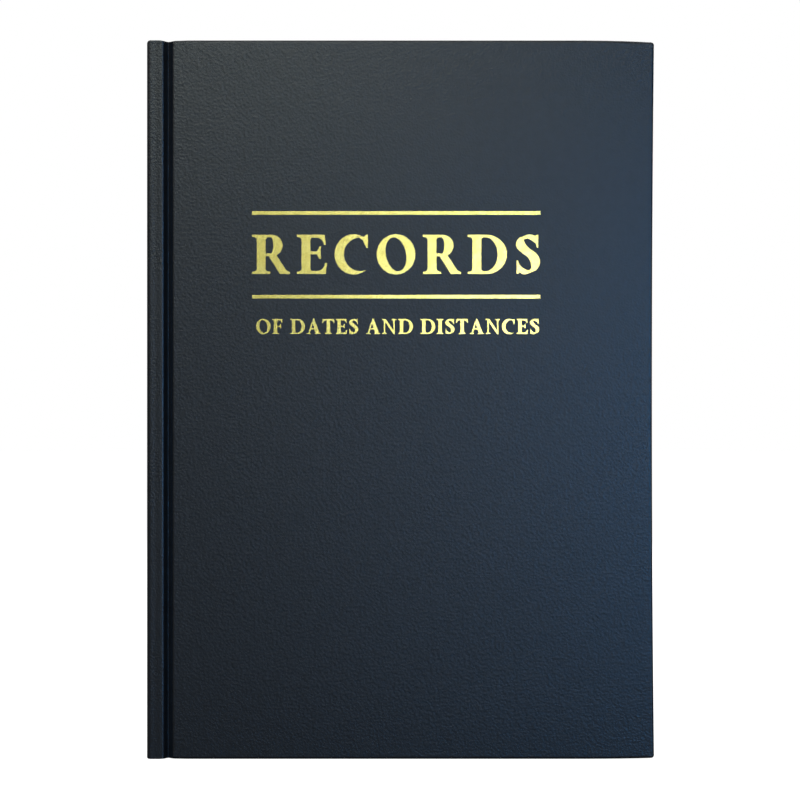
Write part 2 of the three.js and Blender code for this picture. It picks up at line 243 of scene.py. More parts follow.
# a white room to the camera, and a faint fill to everything else
def buildWorld():
    world = bpy.data.worlds.new("studio")
    scene.world = world
    world.use_nodes = True
    tree = world.node_tree
    tree.nodes.clear()
    seen = addNode(tree, "ShaderNodeBackground", inputs={"Color": hexColour("#ffffff"), "Strength": 1.0})
    fill = addNode(tree, "ShaderNodeBackground", inputs={"Color": hexColour("#e6ecf2"), "Strength": 0.08})
    path = addNode(tree, "ShaderNodeLightPath")
    mix = addNode(tree, "ShaderNodeMixShader", inputs={
        0: path.outputs["Is Camera Ray"], 1: fill.outputs[0], 2: seen.outputs[0]})
    addNode(tree, "ShaderNodeOutputWorld", inputs={"Surface": mix.outputs[0]})


def buildFloor():
    material, tree, surface, place = newMaterial("paleStudioFloor")
    surface.inputs["Base Color"].default_value = hexColour("#767675")
    surface.inputs["Roughness"].default_value = 0.9
    surface.inputs["Emission Color"].default_value = hexColour("#ffffff")
    path = addNode(tree, "ShaderNodeLightPath")  # a lit white sweep, which only the camera sees
    tree.links.new(path.outputs["Is Camera Ray"], surface.inputs["Emission Strength"])
    half = 8
    floor = newObject(
        "floor", [(-half, -half, 0), (half, -half, 0), (half, half, 0), (-half, half, 0)], [(0, 1, 2, 3)], material)


def buildStage():
    buildCamera()
    buildLights()
    buildWorld()
    buildFloor()
    scene.view_settings.view_transform = "Standard"
    print("stage ready")


def leatherGrainCovering():
    # polyurethane-coated bookbinding paper, embossed with a fine calf grain: near-black navy, satin, and the
    # embossing breaks its sheen into tiny specks
    look = {"deep": "#0b0f15", "light": "#10161e", "scuffed": "#2a333d", "cloudScale": 260,
            "grainWidth": 1.0 * mm, "pebbleHeight": 0.1 * mm, "smoothness": 0.6, "bump": 0.85,
            "warpScale": 700, "warp": 0.9 * mm, "poreScale": 2600, "poreShare": 0.35,
            "roughHollow": 0.37, "roughTop": 0.3, "refraction": 1.42}
    material, tree, surface, place = newMaterial("leatherGrainCovering")
    warp = addNode(tree, "ShaderNodeTexNoise", inputs={
        "Vector": place, "Scale": look["warpScale"], "Detail": 2})
    shifted = addNode(tree, "ShaderNodeVectorMath", {"operation": "MULTIPLY_ADD"}, {
        0: warp.outputs["Color"], 1: (look["warp"],) * 3, 2: place})
    pebbles = addNode(tree, "ShaderNodeTexVoronoi", {"feature": "SMOOTH_F1"}, {
        "Vector": shifted.outputs[0], "Scale": 1 / look["grainWidth"], "Smoothness": look["smoothness"]})
    pores = addNode(tree, "ShaderNodeTexNoise", inputs={
        "Vector": place, "Scale": look["poreScale"], "Detail": 3})
    grain = addNode(tree, "ShaderNodeMix", inputs={
        0: look["poreShare"], 2: pebbles.outputs["Distance"], 3: pores.outputs["Fac"]})
    cloud = addNode(tree, "ShaderNodeTexNoise", inputs={
        "Vector": place, "Scale": look["cloudScale"], "Detail": 5})
    tone = addNode(tree, "ShaderNodeMapRange", inputs={
        0: cloud.outputs["Fac"], 1: 0.3, 2: 0.7, 3: 0.0, 4: 1.0})
    colour = addNode(tree, "ShaderNodeMix", {"data_type": "RGBA"}, {
        0: tone.outputs[0], 6: hexColour(look["deep"]), 7: hexColour(look["light"])})
    rubbed = edgeWear(tree, place)
    worn = addNode(tree, "ShaderNodeMix", {"data_type": "RGBA"}, {
        0: rubbed, 6: colour.outputs[2], 7: hexColour(look["scuffed"])})
    rough = addNode(tree, "ShaderNodeMapRange", inputs={
        0: grain.outputs[0], 1: 0.2, 2: 0.8, 3: look["roughHollow"], 4: look["roughTop"]})
    bump = addNode(tree, "ShaderNodeBump", inputs={
        "Strength": look["bump"], "Distance": look["pebbleHeight"], "Height": grain.outputs[0]})
    tree.links.new(worn.outputs[2], surface.inputs["Base Color"])
    tree.links.new(rough.outputs[0], surface.inputs["Roughness"])
    tree.links.new(bump.outputs[0], surface.inputs["Normal"])
    surface.inputs["IOR"].default_value = look["refraction"]
    return material


# rubbed patches at the four outer corners of the covers, as a factor
def edgeWear(tree, place):
    reach, strength, streakScale = 7 * mm, 0.75, 420
    split = addNode(tree, "ShaderNodeSeparateXYZ", inputs={0: place})
    middle = (cadLow.z + cadHigh.z) / 2
    up = addNode(tree, "ShaderNodeMath", {"operation": "SUBTRACT"}, {0: split.outputs["Z"], 1: middle})
    away = addNode(tree, "ShaderNodeMath", {"operation": "ABSOLUTE"}, {0: up.outputs[0]})
    toEnd = addNode(tree, "ShaderNodeMath", {"operation": "SUBTRACT"}, {0: cadHigh.z - middle, 1: away.outputs[0]})
    toFore = addNode(tree, "ShaderNodeMath", {"operation": "SUBTRACT"}, {0: cadHigh.x, 1: split.outputs["X"]})
    total = addNode(tree, "ShaderNodeMath", {"operation": "ADD"}, {0: toEnd.outputs[0], 1: toFore.outputs[0]})
    near = addNode(tree, "ShaderNodeMapRange", inputs={0: total.outputs[0], 1: 0.0, 2: reach, 3: strength, 4: 0.0})
    streaks = addNode(tree, "ShaderNodeTexNoise", inputs={"Vector": place, "Scale": streakScale, "Detail": 4})
    patchy = addNode(tree, "ShaderNodeMapRange", inputs={0: streaks.outputs["Fac"], 1: 0.45, 2: 0.62, 3: 0.0, 4: 1.0})
    rubbed = addNode(tree, "ShaderNodeMath", {"operation": "MULTIPLY"}, {0: near.outputs[0], 1: patchy.outputs[0]})
    return rubbed.outputs[0]


def goldFoil():
    # hot-stamped foil: a metallised film pressed into the grain, pale lemon gold that mirrors softly and sparkles
    look = {"deep": "#dfc65a", "pale": "#f6e58c", "patchScale": 420, "grainScale": 1300,
            "grainHeight": 0.03 * mm, "bump": 0.4, "roughness": 0.23}
    material, tree, surface, place = newMaterial("hotStampedGoldFoil")
    patches = addNode(tree, "ShaderNodeTexNoise", inputs={
        "Vector": place, "Scale": look["patchScale"], "Detail": 5})
    colour = addNode(tree, "ShaderNodeMix", {"data_type": "RGBA"}, {
        0: patches.outputs["Fac"], 6: hexColour(look["deep"]), 7: hexColour(look["pale"])})
    grain = addNode(tree, "ShaderNodeTexNoise", inputs={
        "Vector": place, "Scale": look["grainScale"], "Detail": 2})
    bump = addNode(tree, "ShaderNodeBump", inputs={
        "Strength": look["bump"], "Distance": look["grainHeight"], "Height": grain.outputs["Fac"]})
    tree.links.new(colour.outputs[2], surface.inputs["Base Color"])
    tree.links.new(bump.outputs[0], surface.inputs["Normal"])
    surface.inputs["Metallic"].default_value = 1.0
    surface.inputs["Roughness"].default_value = look["roughness"]
    return material


# lines at a regular pitch along one axis, as 1 on the line and 0 off it
def ruledLines(tree, coordinate, start, pitch, width):
    moved = addNode(tree, "ShaderNodeMath", {"operation": "SUBTRACT"}, {0: coordinate, 1: start})
    phase = addNode(tree, "ShaderNodeMath", {"operation": "PINGPONG"}, {0: moved.outputs[0], 1: pitch / 2})
    line = addNode(tree, "ShaderNodeMath", {"operation": "LESS_THAN"}, {0: phase.outputs[0], 1: width / 2})
    return line.outputs[0]


def within(tree, coordinate, low, high):
    above = addNode(tree, "ShaderNodeMath", {"operation": "GREATER_THAN"}, {0: coordinate, 1: low})
    below = addNode(tree, "ShaderNodeMath", {"operation": "LESS_THAN"}, {0: coordinate, 1: high})
    both = addNode(tree, "ShaderNodeMath", {"operation": "MULTIPLY"}, {0: above.outputs[0], 1: below.outputs[0]})
    return both.outputs[0]


def writingPaper():
    # uncoated wood-free paper, printed with a plain ruled table: warm white, matt, with a faint fibre
    look = {"paper": "#f3efe4", "fibre": "#ece6d8", "ink": "#7f97ad", "lineWidth": 0.32 * mm,
            "rowPitch": 9 * mm, "columnPitch": 31 * mm, "margin": 13 * mm, "gutter": 17 * mm,
            "fibreScale": 900, "fibreHeight": 0.02 * mm, "bump": 0.25, "roughness": 0.85}
    material, tree, surface, place = newMaterial("ruledWritingPaper")
    fibre = addNode(tree, "ShaderNodeTexNoise", inputs={
        "Vector": place, "Scale": look["fibreScale"], "Detail": 4})
    paper = addNode(tree, "ShaderNodeMix", {"data_type": "RGBA"}, {
        0: fibre.outputs["Fac"], 6: hexColour(look["paper"]), 7: hexColour(look["fibre"])})
    split = addNode(tree, "ShaderNodeSeparateXYZ", inputs={0: place})
    x, z = split.outputs["X"], split.outputs["Z"]
    left, right = pageLow.x + look["gutter"], pageHigh.x - look["margin"]
    foot, head = pageLow.z + look["margin"], pageHigh.z - look["margin"]
    rows = ruledLines(tree, z, foot, look["rowPitch"], look["lineWidth"])
    columns = ruledLines(tree, x, left, look["columnPitch"], look["lineWidth"])
    lines = addNode(tree, "ShaderNodeMath", {"operation": "MAXIMUM"}, {0: rows, 1: columns})
    inX = within(tree, x, left - look["lineWidth"], right)
    inZ = within(tree, z, foot - look["lineWidth"], head)
    inside = addNode(tree, "ShaderNodeMath", {"operation": "MULTIPLY"}, {0: inX, 1: inZ})
    printed = addNode(tree, "ShaderNodeMath", {"operation": "MULTIPLY"}, {
        0: lines.outputs[0], 1: inside.outputs[0]})
    colour = addNode(tree, "ShaderNodeMix", {"data_type": "RGBA"}, {
        0: printed.outputs[0], 6: paper.outputs[2], 7: hexColour(look["ink"])})
    bump = addNode(tree, "ShaderNodeBump", inputs={
        "Strength": look["bump"], "Distance": look["fibreHeight"], "Height": fibre.outputs["Fac"]})
    tree.links.new(colour.outputs[2], surface.inputs["Base Color"])
    tree.links.new(bump.outputs[0], surface.inputs["Normal"])
    surface.inputs["Roughness"].default_value = look["roughness"]
    return material


# a sheet, board or thread of matted fibres: mottled in tone and in height, and more or less matt
def fibrousSheet(name, base, dark, scale, rough, height):
    material, tree, surface, place = newMaterial(name)
    fibre = addNode(tree, "ShaderNodeTexNoise", inputs={"Vector": place, "Scale": scale, "Detail": 5})
    tone = addNode(tree, "ShaderNodeMapRange", inputs={
        0: fibre.outputs["Fac"], 1: 0.35, 2: 0.7, 3: 0.0, 4: 1.0})
    colour = addNode(tree, "ShaderNodeMix", {"data_type": "RGBA"}, {
        0: tone.outputs[0], 6: hexColour(base), 7: hexColour(dark)})
    bump = addNode(tree, "ShaderNodeBump", inputs={
        "Strength": 0.4, "Distance": height, "Height": fibre.outputs["Fac"]})
    tree.links.new(colour.outputs[2], surface.inputs["Base Color"])
    tree.links.new(bump.outputs[0], surface.inputs["Normal"])
    surface.inputs["Roughness"].default_value = rough
    return material


def wovenGauze():
    # sized cotton gauze: cream threads 1.2 mm apart, drawn as a raised open weave
    look = {"thread": "#efe9da", "hole": "#b9b09a", "spacing": 1.2 * mm, "threadWidth": 0.5 * mm,
            "threadHeight": 0.1 * mm, "bump": 0.8, "roughness": 0.95}
    material, tree, surface, place = newMaterial("sizedCottonGauze")
    split = addNode(tree, "ShaderNodeSeparateXYZ", inputs={0: place})
    warp = ruledLines(tree, split.outputs["X"], 0.0, look["spacing"], look["threadWidth"])
    weft = ruledLines(tree, split.outputs["Z"], 0.0, look["spacing"], look["threadWidth"])
    threads = addNode(tree, "ShaderNodeMath", {"operation": "MAXIMUM"}, {0: warp, 1: weft})
    colour = addNode(tree, "ShaderNodeMix", {"data_type": "RGBA"}, {
        0: threads.outputs[0], 6: hexColour(look["hole"]), 7: hexColour(look["thread"])})
    bump = addNode(tree, "ShaderNodeBump", inputs={
        "Strength": look["bump"], "Distance": look["threadHeight"], "Height": threads.outputs[0]})
    tree.links.new(colour.outputs[2], surface.inputs["Base Color"])
    tree.links.new(bump.outputs[0], surface.inputs["Normal"])
    surface.inputs["Roughness"].default_value = look["roughness"]
    return material


def wovenEndband():
    # silk-wrapped endband: navy and white wraps side by side along the band
    look = {"ground": "#f2efe6", "stripe": "#1f3563", "pitch": 1.6 * mm, "width": 0.8 * mm, "roughness": 0.5}
    material, tree, surface, place = newMaterial("wovenEndband")
    split = addNode(tree, "ShaderNodeSeparateXYZ", inputs={0: place})
    stripe = ruledLines(tree, split.outputs["Y"], 0.0, look["pitch"], look["width"])
    colour = addNode(tree, "ShaderNodeMix", {"data_type": "RGBA"}, {
        0: stripe, 6: hexColour(look["ground"]), 7: hexColour(look["stripe"])})
    tree.links.new(colour.outputs[2], surface.inputs["Base Color"])
    surface.inputs["Roughness"].default_value = look["roughness"]
    surface.inputs["Sheen Weight"].default_value = 0.3
    return material


covering = leatherGrainCovering()
foil = goldFoil()
paper = writingPaper()
# wood-free cartridge paper, rolled smooth and unprinted: plain white and matt, with the faintest cloud
endpaper = fibrousSheet("smoothEndpaper", "#f6f4ee", "#efece3", 700, 0.8, 0.02 * mm)
# waste paper pressed into millboard: speckled grey, rough and dead matt where its edge shows
greyBoard = fibrousSheet("pressedGreyBoard", "#a39f95", "#857f75", 500, 0.95, 0.08 * mm)
# unbleached kraft paper, machine glazed on one side: brown with long darker fibres, slightly less matt
kraft = fibrousSheet("brownKraftLining", "#b38b58", "#94703f", 600, 0.85, 0.03 * mm)
# plied linen drawn through beeswax: cream, with fine darker plies and a waxy half shine
linenThread = fibrousSheet("waxedLinenThread", "#efe9da", "#d6ccb6", 2500, 0.6, 0.05 * mm)
gauze = wovenGauze()
endband = wovenEndband()
print("materials ready")


# how far the case's head and tail edges fall short of their height: round at the spine's corners, in a shallow dip
# over the grooves, and a little at the worn fore-edge corners
def endShortfall(x):
    shape = {"spineRadius": 1.5 * mm, "dipDepth": 0.5 * mm, "dipCentre": 9.3 * mm, "dipWidth": 4.2 * mm,
             "cornerSag": 0.85 * mm, "sagLength": 34 * mm}
    fromSpine = x - spineFace
    fall = 0.0
    if fromSpine < shape["spineRadius"]:
        across = shape["spineRadius"] - max(fromSpine, 0)
        fall += shape["spineRadius"] - math.sqrt(max(shape["spineRadius"] ** 2 - across ** 2, 0))
    off = abs(fromSpine - shape["dipCentre"]) / shape["dipWidth"]
    if off < 1:
        fall += shape["dipDepth"] * (1 - off * off) ** 2
    toCorner = (x - (cadHigh.x - shape["sagLength"])) / shape["sagLength"]
    if toCorner > 0:
        fall += shape["cornerSag"] * toCorner ** 2.5
    return fall


# draws a piece's head and tail in by that shortfall, fading away over some millimetres, and bows the fore edge in
def shapeEnds(piece, tailShare=0.5):
    fade, foreBow, bowReach = 12 * mm, 0.9 * mm, 40 * mm
    low, high = cadLow.z, cadHigh.z
    middle, half = (low + high) / 2, (high - low) / 2
    for vertex in piece.data.vertices:
        place = vertex.co
        fall = endShortfall(place.x)
        fromHead, fromTail = high - place.z, place.z - low
        for distance, direction, share in ((fromHead, -1, 1.0), (fromTail, 1, tailShare)):
            if distance < fade:
                ease = 1 - distance / fade
                place.z += direction * fall * share * ease * ease * (3 - 2 * ease)
        along = (place.z - middle) / half
        reach = max(0.0, (place.x - cadHigh.x + bowReach) / bowReach)
        place.x -= foreBow * (1 - along * along) * reach ** 2


# cuts a mesh all round at equal steps from start to end along an axis, and at some places more
def divideAlong(work, axis, start, end, cuts, more=()):
    for place in [start + (end - start) * i / cuts for i in range(1, cuts)] + list(more):
        point, normal = [0, 0, 0], [0, 0, 0]
        point[axis], normal[axis] = place, 1
        bmesh.ops.bisect_plane(work, geom=work.verts[:] + work.edges[:] + work.faces[:],
                               plane_co=point, plane_no=normal)


# a box with more points along it, for pieces that are shaped afterwards
def dividedBox(name, low, high, material, cutsX, cutsZ):
    piece = boxObject(name, low, high, material)
    work = bmesh.new()
    work.from_mesh(piece.data)
    divideAlong(work, 0, low[0], high[0], cutsX)
    divideAlong(work, 2, low[2], high[2], cutsZ)
    bmesh.ops.recalc_face_normals(work, faces=work.faces)
    work.to_mesh(piece.data)
    work.free()
    return piece


# a cover's covering, wrapped round the board with its turn-ins, and the board inside it
def buildCoverCovering(side, prefix):
    shape = {"skin": 0.3 * mm, "edgeRadius": 0.8 * mm, "innerRadius": 0.4 * mm, "cornerRadius": 1.2 * mm,
             "turnIn": 15 * mm, "air": 0.05 * mm, "cutsX": 30, "cutsZ": 40, "support": 1.3 * mm}
    low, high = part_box(f"{prefix}_covering")
    outer = high.y if side == back else low.y
    inner = low.y if side == back else high.y
    piece = boxObject(f"{prefix}_cover_covering", low, high, covering)
    work = bmesh.new()
    work.from_mesh(piece.data)
    bmesh.ops.recalc_face_normals(work, faces=work.faces)
    corners = [e for e in work.edges
               if abs(e.verts[0].co.y - e.verts[1].co.y) > 1 * mm and e.verts[0].co.x > 0]
    bmesh.ops.bevel(work, geom=corners, offset=shape["cornerRadius"], segments=6, profile=0.5, affect="EDGES")
    for face, radius, segments in ((outer, shape["edgeRadius"], 5), (inner, shape["innerRadius"], 3)):
        rim = [e for e in work.edges if all(abs(v.co.y - face) < 1e-6 for v in e.verts)]
        bmesh.ops.bevel(work, geom=rim, offset=radius, segments=segments, profile=0.5, affect="EDGES")
    work.to_mesh(piece.data)
    work.free()
    skin, air = shape["skin"], shape["air"]
    pocketY = sorted([outer - side * skin, inner + side * skin])
    pocket = boxObject(
        "pocket", (low.x + skin, pocketY[0], low.z + skin), (high.x - skin, pocketY[1], high.z - skin), covering)
    windowY = sorted([inner + side * (skin + air), inner - side * 2 * mm])
    window = boxObject(
        "window", (low.x + skin, windowY[0], low.z + shape["turnIn"]),
        (high.x - shape["turnIn"], windowY[1], high.z - shape["turnIn"]), covering)
    cutOrJoin(pocket, window, "UNION")
    cutOrJoin(piece, pocket, "DIFFERENCE")
    work = bmesh.new()
    work.from_mesh(piece.data)
    support = shape["support"]  # cuts that keep the rounding out of the flat's shading
    divideAlong(work, 0, low.x, high.x, shape["cutsX"], (low.x + support, high.x - support))
    divideAlong(work, 2, low.z, high.z, shape["cutsZ"], (low.z + support, high.z - support))
    work.to_mesh(piece.data)
    work.free()
    shapeEnds(piece)
    smoothByAngle(piece, 35)
    finishPiece(piece, f"{prefix}_cover", "covering", f"{prefix}_covering")

    low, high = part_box(f"{prefix}_board")
    board = dividedBox(f"{prefix}_grey_board", low, high, greyBoard, shape["cutsX"], shape["cutsZ"])
    shapeEnds(board)
    finishPiece(board, f"{prefix}_cover", "board", f"{prefix}_board")


# the pastedown, as a thin flat sheet with its points close together over the first millimetres by the hinge
def buildPastedown(side, prefix):
    shape = {"thickness": 0.15 * mm, "rollLength": 2.0 * mm, "rollSteps": 30, "flatSteps": 12}
    low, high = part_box(f"{prefix}_pastedown")
    depth = halfCase - max(abs(low.y), abs(high.y))
    rollEnd = hingeX + shape["rollLength"]
    xs = [hingeX + (rollEnd - hingeX) * i / shape["rollSteps"] for i in range(shape["rollSteps"] + 1)]
    xs += [rollEnd + (high.x - rollEnd) * i / shape["flatSteps"] for i in range(1, shape["flatSteps"] + 1)]
    outline = [(x, depthY(side, depth)) for x in xs]
    outline += [(x, depthY(side, depth + shape["thickness"])) for x in reversed(xs)]
    piece = uprightObject(f"{prefix}_pastedown_sheet", outline, low.z, high.z, endpaper)
    smoothByAngle(piece)
    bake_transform(piece)
    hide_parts(f"{prefix}_pastedown")


# the covering's outer surface from the spine's corner over the ridge and through the groove to the cover's edge,
# as points (distance from the spine face, depth) in millimetres
jointLine = [(5.9, 0.2), (6.6, 0.23), (7.05, 0.36), (7.4, 0.65), (7.75, 1.1), (8.05, 1.5), (8.4, 1.9), (8.75, 2.22),
             (9.0, 2.34), (9.25, 2.22), (9.6, 1.9), (9.95, 1.55), (10.3, 1.15), (10.56, 0.8)]
ridgePoint, groovePoint = 4, 8  # where the spine covering ends, and the bottom of the groove


def smoothLine(points, perSpan):
    line = []
    for i in range((len(points) - 1) * perSpan + 1):
        line.append(tuple(splinePoint(points, i / perSpan)))
    return line


# the covering across the groove, as two strips: one from the ridge to the groove's bottom, and one from there to the
# cover's edge
def buildJointStrips(side, prefix):
    shape = {"skin": 0.3 * mm, "levels": 40, "bend": (-0.95 * mm, 0.25 * mm, 1.6 * mm)}
    spineSide, coverSide = jointLine[ridgePoint:groovePoint + 1], jointLine[groovePoint:]
    parts = [("spine_side", spineSide, "book_block", f"{prefix}_leaves", *shape["bend"][:2]),
             ("cover_side", coverSide, f"{prefix}_leaves", f"{prefix}_cover", *shape["bend"][1:])]
    for label, points, first, second, start, end in parts:
        line = [(spineFace + x * mm, d * mm) for x, d in smoothLine(points, 8)]
        outer = [(x, depthY(side, d)) for x, d in line]
        inner = offsetLine(outer, shape["skin"] * (1 if side == front else -1))
        piece = uprightObject(
            f"{prefix}_joint_{label}", outer + inner[::-1], cadLow.z, cadHigh.z, covering, shape["levels"])
        shapeEnds(piece)
        smoothByAngle(piece, 50)
        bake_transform(piece)
        if label == "spine_side":
            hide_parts(f"{prefix}_joint_strip")


# the covering round the spine, from the front ridge to the back ridge, with its turn-ins at head and tail
def buildSpineCovering():
    shape = {"skin": 0.3 * mm, "cornerRadius": 1.5 * mm, "ridgeDrop": 0.2 * mm, "ridgeDip": 0.05 * mm,
             "turnIn": 15 * mm, "inward": 2.5 * mm, "capStart": 0.15 * mm, "endGap": 0.02 * mm,
             "boardInset": 1.3 * mm, "steps": 12, "levels": 60}
    radius, steps = shape["cornerRadius"], shape["steps"]
    half = [(x * mm, d * mm) for x, d in smoothLine(jointLine[:ridgePoint + 1], 5)][::-1]
    flatStart, flatEnd = half[-1][0], radius
    for i in range(1, steps + 1):  # a slight hollow between the ridge and the spine's corner
        share = i / steps
        half.append((flatStart + (flatEnd - flatStart) * share,
                     shape["ridgeDrop"] + shape["ridgeDip"] * math.sin(share * math.pi) ** 2))
    for i in range(1, steps + 1):  # the spine's corner
        turn = i / steps * math.pi / 2
        half.append((radius - radius * math.sin(turn), shape["ridgeDrop"] + radius - radius * math.cos(turn)))
    outer = [(spineFace + x, depthY(front, d)) for x, d in half]
    outer += [(spineFace + x, depthY(back, d)) for x, d in reversed(half)]
    inner = offsetLine(outer, -shape["skin"])
    zLow, zHigh = cadLow.z, cadHigh.z
    piece = uprightObject("spine_covering_skin", outer + inner[::-1], zLow, zHigh, covering, shape["levels"])
    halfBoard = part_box("spine_board")[1].y
    capEnd = spineFace + shape["inward"]
    for edge, inwards in ((zLow, 1), (zHigh, -1)):
        near = edge + inwards * shape["endGap"]
        capZ = sorted([near, edge + inwards * shape["skin"]])
        flapZ = sorted([near, edge + inwards * shape["turnIn"]])
        cap = dividedBox("cap", (spineFace + shape["capStart"], -halfBoard, capZ[0]),
                         (capEnd, halfBoard, capZ[1]), covering, 10, 1)
        flap = dividedBox("flap", (capEnd - shape["skin"], -halfBoard, flapZ[0]), (capEnd, halfBoard, flapZ[1]),
                          covering, 1, 8)
        cutOrJoin(cap, flap, "UNION")
        cutOrJoin(piece, cap, "UNION")
    shapeEnds(piece)
    smoothByAngle(piece, 50)
    finishPiece(piece, "book_block", "covering", "spine_covering")
    low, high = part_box("spine_board")
    inset = shape["boardInset"]
    board = dividedBox("spine_grey_board", (low.x, low.y, low.z + inset), (high.x, high.y, high.z - inset),
                       greyBoard, 1, 1)
    finishPiece(board, "book_block", "board", "spine_board")


# a line moved sideways by a distance, with mitred corners
def offsetLine(points, distance):
    moved = []
    for i, point in enumerate(points):
        before = Vector(points[max(i - 1, 0)])
        after = Vector(points[min(i + 1, len(points) - 1)])
        here = Vector(point)
        directions = [d.normalized() for d in (here - before, after - here) if d.length > 1e-9]
        normals = [Vector((-d.y, d.x)) for d in directions]
        total = sum(normals, Vector((0, 0)))
        total.normalize()
        stretch = 1 / max(total.dot(normals[0]), 0.5)
        moved.append(tuple(here + total * distance * stretch))
    return moved


# a stack of sheets: count sheets, one pitch apart in Y, each slipped a little so that the edges aren't dead flat
def leafStackTree():
    tree = bpy.data.node_groups.new("leafStack", "GeometryNodeTree")
    face = tree.interface
    face.new_socket("Geometry", in_out="OUTPUT", socket_type="NodeSocketGeometry")
    for name, kind in (("Sheet size", "NodeSocketVector"), ("First sheet", "NodeSocketVector"),
                       ("Pitch", "NodeSocketFloat"), ("Sheet count", "NodeSocketInt"),
                       ("Divisions", "NodeSocketInt"), ("Slip", "NodeSocketFloat"),
                       ("Seed", "NodeSocketInt"), ("Material", "NodeSocketMaterial")):
        face.new_socket(name, in_out="INPUT", socket_type=kind)
    given = addNode(tree, "NodeGroupInput").outputs
    step = addNode(tree, "ShaderNodeCombineXYZ", inputs={"Y": given["Pitch"]})
    line = addNode(tree, "GeometryNodeMeshLine", inputs={
        "Count": given["Sheet count"], "Start Location": given["First sheet"], "Offset": step.outputs[0]})
    sheet = addNode(tree, "GeometryNodeMeshCube", inputs={
        "Size": given["Sheet size"], "Vertices X": given["Divisions"]})
    copies = addNode(tree, "GeometryNodeInstanceOnPoints", inputs={
        "Points": line.outputs[0], "Instance": sheet.outputs[0]})
    less = addNode(tree, "ShaderNodeMath", {"operation": "MULTIPLY"}, {0: given["Slip"], 1: -1.0})
    lowest = addNode(tree, "ShaderNodeCombineXYZ", inputs={"X": less.outputs[0], "Z": less.outputs[0]})
    highest = addNode(tree, "ShaderNodeCombineXYZ", inputs={"Z": given["Slip"]})
    slips = addNode(tree, "FunctionNodeRandomValue", {"data_type": "FLOAT_VECTOR"}, {
        0: lowest.outputs[0], 1: highest.outputs[0], "Seed": given["Seed"]})
    moved = addNode(tree, "GeometryNodeTranslateInstances", inputs={
        "Instances": copies.outputs[0], "Translation": slips.outputs[0]})
    real = addNode(tree, "GeometryNodeRealizeInstances", inputs={0: moved.outputs[0]})
    dressed = addNode(tree, "GeometryNodeSetMaterial", inputs={
        "Geometry": real.outputs[0], "Material": given["Material"]})
    addNode(tree, "NodeGroupOutput", inputs={"Geometry": dressed.outputs[0]})
    return tree


# runs a node tree on an empty mesh with its inputs filled in, and keeps the result as a plain mesh
def growPiece(name, tree, values):
    piece = bpy.data.objects.new(name, bpy.data.meshes.new(name))
    scene.collection.objects.link(piece)
    modifier = piece.modifiers.new("grow", "NODES")
    modifier.node_group = tree
    for item in tree.interface.items_tree:
        if item.in_out == "INPUT" and item.name in values:
            modifier[item.identifier] = values[item.name]
    return bake(piece)


def buildLeafStack(tree, name, low, high, count, divisions, seed):
    shape = {"slip": 0.12 * mm, "fill": 0.86}
    pitch = (high.y - low.y) / count
    thickness = pitch * shape["fill"]
    slip = shape["slip"]
    return growPiece(name, tree, {
        "Sheet size": (high.x - low.x - slip, thickness, high.z - low.z - 2 * slip),
        "First sheet": ((low.x + high.x) / 2 + slip / 2, low.y + pitch / 2, (low.z + high.z) / 2),
        "Pitch": pitch, "Sheet count": count, "Divisions": divisions, "Slip": slip,
        "Seed": seed, "Material": paper})


def buildLeaves():
    shape = {"leavesPerSection": 8, "gutterDivisions": 105, "bendLength": 9 * mm, "sections": 9, "turning": 2}
    tree = leafStackTree()
    for number in range(1, shape["sections"] + 1):
        turnsFront = number <= shape["turning"]
        turnsBack = number > shape["sections"] - shape["turning"]
        name = f"section_{number}"
        if not (turnsFront or turnsBack):
            low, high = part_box(name)
            piece = buildLeafStack(tree, f"{name}_sheets", low, high, shape["leavesPerSection"], 2, number)
            finishPiece(piece, "book_block", "paper", name)
            continue
        low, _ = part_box(f"{name}_fold")
        _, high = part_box(f"{name}_leaves")
        piece = buildLeafStack(
            tree, f"{name}_sheets", low, high, shape["leavesPerSection"], shape["gutterDivisions"], number)
        smoothByAngle(piece)
        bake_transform(piece)
        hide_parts(f"{name}_fold", f"{name}_leaves")
    print("leaves ready")


def buildFlyleaf(prefix):
    shape = {"gap": 0.01 * mm, "bendLength": 9 * mm, "bendSteps": 60, "flatSteps": 12}
    low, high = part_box(f"{prefix}_flyleaf")
    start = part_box(f"{prefix}_endpaper_hinge")[1].x + shape["gap"]
    bendEnd = hingeX + shape["bendLength"]
    xs = [start + (bendEnd - start) * i / shape["bendSteps"] for i in range(shape["bendSteps"] + 1)]
    xs += [bendEnd + (high.x - bendEnd) * i / shape["flatSteps"] for i in range(1, shape["flatSteps"] + 1)]
    outline = [(x, low.y) for x in xs] + [(x, high.y) for x in reversed(xs)]
    piece = uprightObject(f"{prefix}_flyleaf_sheet", outline, low.z, high.z, endpaper)
    smoothByAngle(piece)
    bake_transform(piece)
    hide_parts(f"{prefix}_flyleaf")


